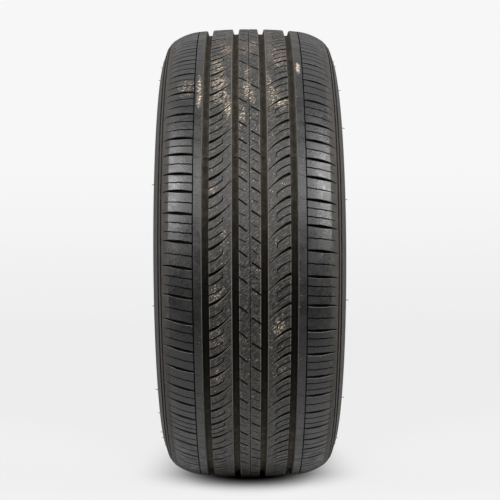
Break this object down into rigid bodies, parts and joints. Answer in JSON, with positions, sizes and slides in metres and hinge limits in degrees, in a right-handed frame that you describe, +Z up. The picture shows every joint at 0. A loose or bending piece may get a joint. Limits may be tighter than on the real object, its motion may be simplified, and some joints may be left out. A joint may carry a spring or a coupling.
{
  "type": "car tyre",
  "caption": "Road car tyre with an asymmetric ribbed tread, an open casing and bead seats that grip a drop-centre rim.",
  "frame": {"origin": "the wheel centre, in the middle plane of the tyre on its spin axis", "axes": "+Y along the spin axis, towards the right half of the tread; +Z up, with the tyre standing on its tread; +X towards the camera of the picture"},
  "size_m": [0.6778, 0.245, 0.6774],
  "materials": {
    "tyre": "matt black rubber, lightly polished on the shoulders, with dried mud in the tread"
  },
  "bodies": {
    "root": {"tyre": "tyre"}
  },
  "joints": []
}
